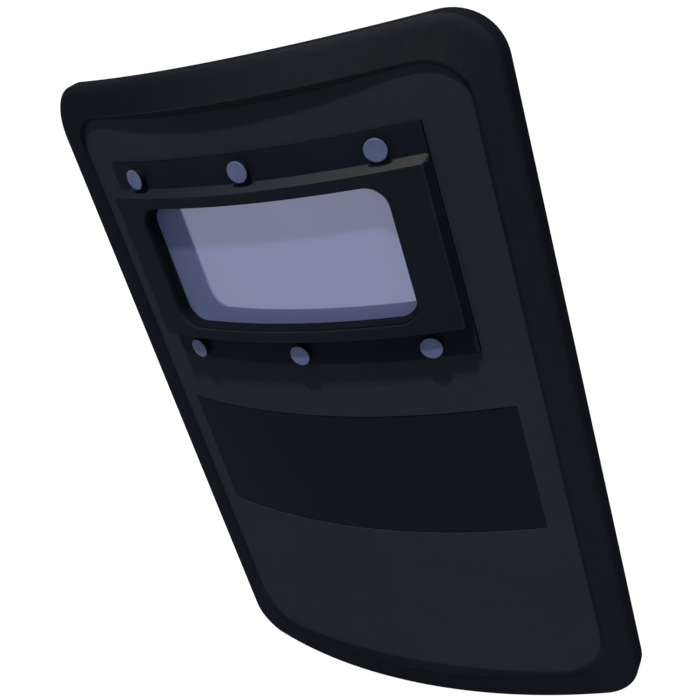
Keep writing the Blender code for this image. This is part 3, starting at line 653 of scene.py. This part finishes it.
seal = {"thick": 0.0015, "front": 0.0178, "lip": 0.0018, "guard": 0.0003,
        "cuts": (0.0002, 0.0006, 0.0006, 0.0016, 0.0002), "spans": (2, 0, 3, 1, 0), "wornAndLit": (0,) * 5}


def windowLevels(face, pocketFloor, back):
    # a frame's section inside its opening: down the lip, and out along the floor of the glass's pocket
    lip = openingLoop(0, housing["counts"])
    pocket = openingLoop(glass["overlap"] + glass["gap"], housing["counts"])
    rows = ((lip, face), (lip, pocketFloor), (pocket, pocketFloor), (pocket, back))
    return [levelAt(loop, front) for loop, front in rows]


def makeFrontFrame():
    # the housing's upper slope carries a painted highlight, paler to the right where the key light shines
    # off it:
    # value = strength * (share of its width) ^ power; the outer edge of its flange is painted black as
    # painted shade
    low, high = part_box("viewport_frame")
    counts, bevel, plateFront = housing["counts"], housing["bevel"], housing["flangeFront"]
    half, corner = halfArc("viewport_frame", plateFront - bevel), housing["flangeCorner"]
    outer = roundedLoop(half, low.y, high.y, corner, counts)
    inset = roundedLoop(half - bevel, low.y + bevel, high.y - bevel, corner - bevel, counts)
    levels = [levelAt(outer, fitGap), levelAt(outer, plateFront - bevel), levelAt(inset, plateFront),
              levelAt(roundedLoop(*housing["foot"], counts), plateFront),
              levelAt(roundedLoop(*housing["face"], counts), housing["front"]),
              *windowLevels(housing["front"], glass["front"] + fitGap, fitGap)]
    section, wearAndPaintedLight = softSection(levels, housing)
    across, up, front = np.moveaxis(section, -1, 0)
    faceHalf, _, faceTop, _ = housing["face"]
    under, over = housing["slopeMargin"]
    # painted highlight on the upper slope
    pale = housing["slopeHighlight"] * ramp(across, -faceHalf, faceHalf) ** housing["slopeHighlightPower"]
    wearAndPaintedLight = np.where((up > faceTop - under) & (front > plateFront + over), pale, wearAndPaintedLight[:, None])
    # painted shade on the flange's outer edge
    wearAndPaintedLight = np.where(front < plateFront - housing["edgeShadeMargin"], housing["edgeShade"], wearAndPaintedLight)
    piece = loft("windowHousing", bent(section), wearAndPaintedLight, own=section)
    fit(combined(piece, boltDrills(*housing["boltDrill"]), "DIFFERENCE"), blackMetal, "frame_metal",
        "viewport_frame")


def makeRearFrame():
    # flange, sloped box and opening, one section carried round the window
    low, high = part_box("rear_frame")
    counts = housing["counts"]
    outer = roundedLoop(halfArc("rear_frame", shellBack), low.y, high.y, housing["flangeCorner"], counts)
    levels = [levelAt(outer, shellBack), levelAt(outer, rear["plateBack"]),
              levelAt(roundedLoop(*rear["foot"], counts), rear["plateBack"]),
              levelAt(roundedLoop(*rear["back"], counts), rear["boxBack"]),
              *windowLevels(rear["boxBack"], glass["back"] - fitGap, shellBack)]
    section, wearAndPaintedLight = softSection(levels, rear)
    piece = loft("rearHousing", bent(section), wearAndPaintedLight, own=section)
    fit(combined(piece, boltDrills(*rear["boltDrill"]), "DIFFERENCE"), blackMetal, "frame_metal",
        "rear_frame")


def makeGlass():
    # a thick plate with softened edges
    block = plate("glassBlock", openingLoop(glass["overlap"]), glass["back"], glass["front"],
                  glass["edge"])
    fit(block, clearGlass, "viewport_glass", "viewport_glass")


def makeSeal():
    # a thin wall inside the opening, whose lip bears on the glass; its dark rubber is a real lining and
    # also stands as painted shade on the opening's walls
    foot = glass["front"] + fitGap
    outer, inner = openingLoop(-fitGap), openingLoop(-fitGap - seal["thick"])
    lip = openingLoop(-fitGap - seal["thick"] - seal["lip"])
    levels = [levelAt(outer, foot), levelAt(outer, seal["front"]), levelAt(inner, seal["front"]),
              levelAt(inner, foot + seal["lip"]), levelAt(lip, foot)]
    section, wearAndPaintedLight = softSection(levels, seal, guard=seal["guard"])
    fit(loft("windowLining", bent(section), wearAndPaintedLight, own=section), dullRubber, "seal_rubber", "window_seal")


makeFrontFrame()
makeRearFrame()
makeGlass()
makeSeal()
print("viewport done")


# Bolts and nuts

def makeBolts():
    # a flat head on a narrower collar, then a shank whose thread is
    # radius = shank - depth (1 - cos(2 pi height / pitch + angle)) / 2, and whose tip tapers
    seat = housing["flangeFront"] + fitGap
    crown = seat + bolt["headHeight"]
    radius, collar, shank = bolt["headRadius"], bolt["collar"], bolt["shank"]
    head, wearAndPaintedLight = softProfile(
        ((poleRadius, crown), (radius - bolt["bevel"], crown), (radius, crown - bolt["bevel"]),
         (radius, crown - bolt["headEdge"]), (collar, crown - bolt["underHead"]), (collar, seat),
         (shank, seat), (shank, bolt["threadFrom"])), bolt)
    depths = np.linspace(bolt["threadFrom"], bolt["end"], bolt["threadRows"])[1:]
    taper = bolt["tip"] * (1 - ramp(depths, bolt["end"], bolt["end"] + bolt["tip"]))
    rows = np.concatenate((turned(head), turned(np.column_stack((shank - taper, depths)))))
    angle = np.linspace(0, 2 * math.pi, rows.shape[1], endpoint=False)
    fade = ramp(depths, bolt["threadFrom"], bolt["threadFrom"] - bolt["threadFade"])[:, None]
    wave = np.cos(2 * math.pi * depths[:, None] / bolt["pitch"] + angle)
    cut = fade * bolt["threadDepth"] * (1 - wave) / 2
    rows[len(head):, :, :2] *= (1 - cut / shank)[..., None]
    wearAndPaintedLight = np.append(wearAndPaintedLight, np.full(len(depths), bolt["threadWorn"]))
    for name, arc, up in boltPlaces():
        fit(loft(f"roundBolt_{name}", seated(rows, arc, up), wearAndPaintedLight, closed=False, own=rows), boltSteel,
            "bolt_steel", f"bolt_{name}")


def makeNuts():
    # six flats: reach = half the width over flats / cos(angle from the flat's middle), cut back by a cone
    # at both faces
    look = {"corners": 0.0219, "height": 0.010, "bore": 0.0065, "lead": 0.0008, "face": 0.94, "cone": 30,
            "around": 72, "sharpAngle": 28, "cuts": (0.0002,) * 2 + (0.0004,) * 4 + (0.0002,) * 2,
            "spans": (0, 0, 0, 1, 0, 0, 0, 0), "wornAndLit": (0, 0, 0.6, 0.9, 0.5, 0, 0, 0)}
    angle = np.linspace(0, 2 * math.pi, look["around"], endpoint=False)
    flat = look["corners"] / 2 * math.cos(math.pi / 6)
    reach = flat / np.cos((angle % (math.pi / 3)) - math.pi / 6)
    face, bore, lead = look["face"] * flat, look["bore"], look["lead"]
    drop = (reach - face) * math.tan(math.radians(look["cone"]))
    low = rear["plateBack"] - fitGap - look["height"]
    high = low + look["height"]
    turns = [(bore, low + lead), (bore + lead, low), (face, low), (reach, low + drop),
             (reach, high - drop), (face, high), (bore + lead, high), (bore, high - lead)]
    levels = [np.column_stack((radius * np.cos(angle), radius * np.sin(angle), height + 0 * angle))
              for radius, height in turns]
    rows, wearAndPaintedLight = softSection(levels, look, guard=softness["fineGuard"])
    for name, arc, up in boltPlaces():
        piece = loft(f"hexNut_{name}", seated(rows, arc, up), wearAndPaintedLight, own=rows)
        piece.data.set_sharp_from_angle(angle=math.radians(look["sharpAngle"]))
        fit(piece, boltSteel, "bolt_steel", f"nut_{name}")


makeBolts()
makeNuts()
print("bolts and nuts done")


# Grip handle: a round bar bent into a staple and welded to two feet, with a ribbed sleeve

def makeHandle():
    # the bar's centre line: leg, quarter circle, straight, quarter circle, leg. Weld beads swell its two
    # ends: radius = bar + weld (1 - distance from the foot / reach) ^ 2
    reachBack, half, bend = -handle["depth"], handle["halfSpan"], handle["bend"]
    footBack = shellBack - handle["footThick"]
    sweep = np.linspace(0, math.pi / 2, handle["rows"])
    legBack = np.linspace(footBack + handle["sunk"], reachBack + bend, handle["rows"], endpoint=False)
    leg = np.column_stack((np.full(len(legBack), half), legBack))
    arc = np.column_stack((half - bend * (1 - np.cos(sweep)), reachBack + bend * (1 - np.sin(sweep))))
    firstHalf = np.concatenate((leg, arc))
    line = np.concatenate((firstHalf, firstHalf[::-1] * (-1, 1)))
    ahead = np.gradient(line, axis=0)
    ahead /= np.linalg.norm(ahead, axis=1, keepdims=True)
    side = np.column_stack((-ahead[:, 1], ahead[:, 0]))
    swell = handle["weld"] * (1 - ramp(footBack - line[:, 1], 0, handle["weldReach"])) ** 2
    radius = (handle["bar"] + swell)[:, None]
    angle = np.linspace(0, 2 * math.pi, handle["around"], endpoint=False)
    place = line[:, None] + (radius * np.sin(angle))[..., None] * side[:, None]
    flat = np.dstack((handle["arc"] + radius * np.cos(angle), handle["up"] + place[..., 0],
                      place[..., 1]))
    bar = loft("gripHandle", bent(flat), np.full(len(flat), handle["wornAndLit"]), closed=False, own=flat)
    feet = []
    for outward in ends.values():
        middle = handle["up"] + outward * (half + handle["footOut"])
        halfWidth, halfLength = handle["footHalf"]
        loop = roundedLoop(halfWidth, middle - halfLength, middle + halfLength, handle["footCorner"],
                           handle["footCounts"], handle["arc"])
        feet.append(plate("foot", loop, footBack, shellBack, handle["footEdge"], rows=smallPlateRows))
    combined(bar, feet, "UNION")
    fit(combined(bar, screwDrills("handle", *fixtureDrill), "DIFFERENCE"), blackMetal, "frame_metal",
        "handle")


def makeGrip():
    # between two collars, radius = barrel + swell sin(pi share) - depth * groove, and
    # groove = 1 - sharpness (1 - cos(2 pi grooves share)), where that is above zero
    look = {"half": 0.058, "collar": 0.004, "radius": 0.0125, "swell": 0.0012, "collarRadius": 0.0145,
            "draft": 0.0003, "bore": 0.0064, "grooves": 17, "grooveRows": 12, "grooveDepth": 0.0009,
            "sharpness": 2.2, "ridgeWorn": 0.35, "cuts": (0, 0.0006, 0.0012, 0.0008, 0),
            "spans": (0, 1, 1, 0), "wornAndLit": (0, 0, 0.8, 0.5, 0)}
    half, inner, outer = look["half"], look["half"] - look["collar"], look["collarRadius"]
    share = np.linspace(1, 0, look["grooves"] * look["grooveRows"] + 1)[1:-1]
    groove = np.clip(1 - look["sharpness"] * (1 - np.cos(2 * math.pi * look["grooves"] * share)), 0, 1)
    barrel = np.column_stack((look["radius"] + look["swell"] * np.sin(math.pi * share)
                              - look["grooveDepth"] * groove, inner * (2 * share - 1)))
    top, wearAndPaintedLight = softProfile(((look["bore"], inner), (look["bore"], half), (outer, half),
                             (outer, inner + look["draft"]), (look["radius"], inner)), look)
    profile = np.concatenate((top, barrel, top[::-1] * (1, -1)))
    wearAndPaintedLight = np.concatenate((wearAndPaintedLight, look["ridgeWorn"] * (1 - groove), wearAndPaintedLight[::-1]))
    local = turned(profile)
    centre = bent(np.array((handle["arc"], handle["up"], -handle["depth"])))
    rows = centre + np.stack((local[..., 0], local[..., 2], local[..., 1]), -1)
    fit(loft("gripSleeve", rows, wearAndPaintedLight, own=local), gripRubber, "grip_rubber", "handle_grip")


makeHandle()
makeGrip()
print("grip done")


# Forearm strap: webbing under two clamp bars, bowed between them

def strapLine():
    # height and depth of the strap's middle: flat feet, and between them a bow whose
    # depth = flat - rise sin(turn) ^ bow; then rows at even lengths, each a weighted mean
    flat = shellBack - strap["thick"] / 2
    turn = np.linspace(0, math.pi, strap["bowRows"])
    up = -strap["halfSpan"] * np.cos(turn)
    depth = flat - strap["rise"] * np.sin(turn) ** strap["bow"]
    reach = strap["halfSpan"] + strap["foot"]
    foot = np.linspace(reach, strap["halfSpan"], strap["footRows"], endpoint=False)
    line = np.column_stack((np.concatenate((-foot, up, foot[::-1])),
                            np.pad(depth, strap["footRows"], constant_values=flat)))
    length = np.append(0, np.cumsum(np.linalg.norm(np.diff(line, axis=0), axis=1)))
    even = np.linspace(0, length[-1], round(length[-1] / strap["pitch"]) * strap["rowsPerThread"] + 1)
    line = np.column_stack([np.interp(even, length, line[:, axis]) for axis in range(2)])
    weights = np.hanning(2 * strap["smoothed"] + 3)[1:-1]
    soft = np.pad(line, ((strap["smoothed"],) * 2, (0, 0)), "reflect", reflect_type="odd")
    soft = np.column_stack([np.convolve(soft[:, axis], weights / weights.sum(), "valid")
                            for axis in range(2)])
    ahead = np.gradient(soft, axis=0)
    ahead /= np.linalg.norm(ahead, axis=1, keepdims=True)
    return soft, np.column_stack((-ahead[:, 1], ahead[:, 0])), even


def makeStrap():
    # a flat section with rounded edges carried along the line; plain weave lowers each face between
    # threads by depth (1 - cos(2 pi across / pitch) cos(2 pi along / pitch)) / 2
    line, side, along = strapLine()
    loop, _ = roundedLoop(strap["halfWidth"], -strap["thick"] / 2, strap["thick"] / 2, strap["edge"],
                          strap["counts"])
    turnPer = 2 * math.pi / strap["pitch"]
    wave = np.cos(turnPer * loop[:, 0]) * np.cos(turnPer * along)[:, None]
    thick = loop[:, 1] - np.sign(loop[:, 1]) * strap["weaveDepth"] * (1 - wave) / 2
    across, down = np.broadcast_arrays(loop[:, 0], along[:, None])
    flat = np.dstack((strap["arc"] + across, handle["up"] + line[:, :1] + side[:, :1] * thick,
                      line[:, 1:] + side[:, 1:] * thick))
    own = np.dstack((across, down, thick))
    fit(loft("forearmStrap", bent(flat), np.zeros(len(along)), closed=False, own=own), webbing,
        "strap_webbing", "arm_strap")


def makeStitches():
    # a row near each edge of both faces of the bowed part: each stitch is a short round thread sunk into
    # the face, radius = thread sqrt(blunt - t ^ 2) for t from -1 to 1 along it
    look = {"length": 0.0034, "pitch": 0.0048, "radius": 0.0004, "inset": 0.0035, "fromFoot": 0.006,
            "rows": 7, "around": 8, "blunt": 1.02}
    line, side, along = strapLine()
    first = strap["foot"] + look["fromFoot"]
    centres = np.arange(first, along[-1] - first, look["pitch"])
    t = np.linspace(-1, 1, look["rows"])
    spots = centres[:, None] + t * look["length"] / 2
    middle = np.stack([np.interp(spots, along, line[:, axis]) for axis in range(2)], -1)
    outward = np.stack([np.interp(spots, along, side[:, axis]) for axis in range(2)], -1)
    radius = look["radius"] * np.sqrt(np.clip(look["blunt"] - t ** 2, 0, 1))[:, None]
    angle = np.linspace(0, 2 * math.pi, look["around"], endpoint=False)
    stacks = []
    for face in (-1, 1):
        for edge in (-1, 1):
            arc = strap["arc"] + edge * (strap["halfWidth"] - look["inset"]) + radius * np.cos(angle)
            lift = face * strap["thick"] / 2 + radius * np.sin(angle)
            place = middle[:, :, None] + outward[:, :, None] * lift[..., None]
            stacks.append(np.concatenate((np.broadcast_to(arc, place.shape[:3])[..., None], place), -1)
                          + (0, handle["up"], 0))
    flat = np.concatenate(stacks)
    fit(loft("strapStitches", bent(flat), closed=False, own=flat), thread, "strap_webbing")


def makeClamps():
    # a small plate across each foot of the strap
    front = shellBack - strap["thick"] - fitGap
    for end, outward in ends.items():
        middle = handle["up"] + outward * (strap["halfSpan"] + strap["foot"] / 2)
        loop = roundedLoop(clamp["halfWidth"], middle - clamp["halfLength"], middle + clamp["halfLength"],
                           clamp["corner"], clamp["counts"], strap["arc"])
        piece = plate(f"strapBar_{end}", loop, front - clamp["thick"], front, clamp["edge"],
                      rows=smallPlateRows)
        holes = screwDrills(f"strap_screw_{end}", *fixtureDrill)
        fit(combined(piece, holes, "DIFFERENCE"), blackMetal, "frame_metal", f"strap_clamp_{end}")


def makeScrews():
    # pan heads with a hexagonal socket, behind the feet and the clamp bars
    look = {"shank": 0.0025, "tip": -0.0046, "head": 0.0048, "headHeight": 0.003, "draft": 0.0002,
            "domeHeight": 0.0012, "domeInset": 0.0016, "socket": 0.0023, "socketDepth": 0.0018,
            "socketOver": 0.002, "socketSides": 6, "around": 36,
            "cuts": (0, 0.0003, 0.0002, 0.0003, 0.0006, 0.0006, 0), "spans": (0, 0, 1, 0, 0, 1),
            "wornAndLit": (0, 0, 0, 0.4, 0.8, 0.5, 0)}
    shank, tip, head = look["shank"], look["tip"], look["head"]
    under = {"handle": shellBack - handle["footThick"] - fitGap,
             "strap": shellBack - strap["thick"] - 2 * fitGap - clamp["thick"]}
    for name, arc, up in screwPlaces():
        neck = under[name.split("_")[0]]
        crown = neck - look["headHeight"]
        profile, wearAndPaintedLight = softProfile(
            ((poleRadius, tip), (shank, tip), (shank, neck), (head, neck),
             (head - look["draft"], crown + look["domeHeight"]), (head - look["domeInset"], crown),
             (poleRadius, crown)), look)
        local = turned(profile, look["around"])
        piece = loft(f"socketScrew_{name}", seated(local, arc, up), wearAndPaintedLight, closed=False, own=local)
        socket = drill(arc, up, look["socket"], crown - look["socketOver"], crown + look["socketDepth"],
                       look["socketSides"])
        fit(combined(piece, [socket], "DIFFERENCE"), boltSteel, "bolt_steel", name)


makeStrap()
makeStitches()
makeClamps()
makeScrews()
print("strap and screws done")


# Floor: pale and softly lit from within, so that the shield's shade on it stays light

def makeFloor():
    look = {"color": (0.2, 0.2, 0.2), "rough": 0.9, "glowColor": (1, 1, 1), "glow": 0.94, "half": 4.0}
    reach = look["half"]
    mesh = bpy.data.meshes.new("floor")
    mesh.from_pydata([(-reach, -reach, 0), (reach, -reach, 0), (reach, reach, 0), (-reach, reach, 0)], [],
                     [(0, 1, 2, 3)])
    floor = bpy.data.objects.new("floor", mesh)
    bpy.context.scene.collection.objects.link(floor)
    glowing, _ = paint("paleFloor", {
        "Base Color": (*look["color"], 1), "Roughness": look["rough"],
        "Emission Color": (*look["glowColor"], 1), "Emission Strength": look["glow"]})
    mesh.materials.append(glowing)
    floor.visible_diffuse = False
    floor.visible_glossy = False


makeFloor()
print("stage set")
